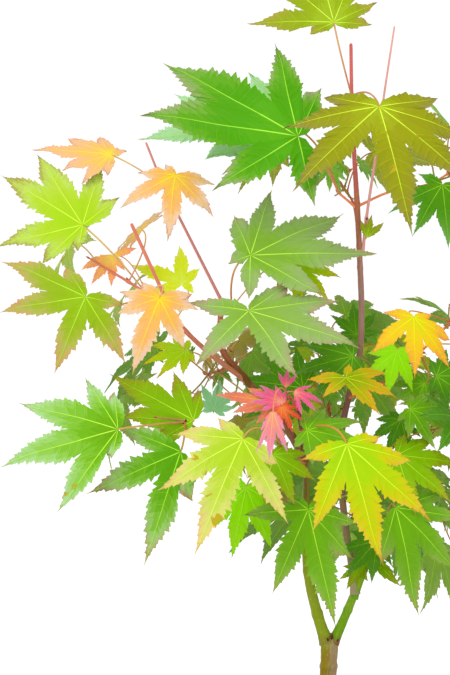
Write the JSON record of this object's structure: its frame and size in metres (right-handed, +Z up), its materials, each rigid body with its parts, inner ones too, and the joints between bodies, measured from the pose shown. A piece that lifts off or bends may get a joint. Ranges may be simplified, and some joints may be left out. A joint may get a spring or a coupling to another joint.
{
  "type": "japanese maple bonsai",
  "caption": "Young japanese maple grown as a bonsai: slender forked trunk with open layers of seven-lobed leaves in green, orange and pink, in a plain unglazed rectangular pot.",
  "frame": {"origin": "middle of the pot's flat underside", "axes": "+Z up along the plant, -Y towards the viewer of the picture, +X to that viewer's right along the pot's long side"},
  "size_m": [0.2879, 0.2077, 0.4544],
  "materials": {
    "pot_clay": "unglazed matt stoneware",
    "soil": "loose granules of fired clay",
    "bark": "smooth young bark, olive to pinkish brown",
    "green_bark": "smooth green young bark",
    "red_bark": "smooth red-brown young bark",
    "foliage": "soft satin leaves, greens with orange and pink new growth"
  },
  "bodies": {
    "root": {"bough_back": "red_bark", "bough_far_left": "red_bark", "bough_left": "red_bark", "bough_low_back": "red_bark", "bough_low_left": "red_bark", "bough_right": "green_bark", "foliage_back": "foliage", "foliage_back_left": "foliage", "foliage_far_left": "foliage", "foliage_front": "foliage", "foliage_front_left": "foliage", "foliage_heart": "foliage", "foliage_left_node": "foliage", "foliage_left_shoot": "foliage", "foliage_low_back": "foliage", "foliage_low_far_right": "foliage", "foliage_low_front": "foliage", "foliage_low_left": "foliage", "foliage_low_right": "foliage", "foliage_mid_right": "foliage", "foliage_pink": "foliage", "foliage_right": "foliage", "foliage_side_shoot": "foliage", "foliage_top": "foliage", "foliage_upper_back": "foliage", "foliage_upper_left": "foliage", "foliage_upper_right": "foliage", "leader": "red_bark", "pot": "pot_clay", "soil": "soil", "stem_left": "bark", "stem_right": "green_bark", "trunk": "bark"}
  },
  "joints": []
}
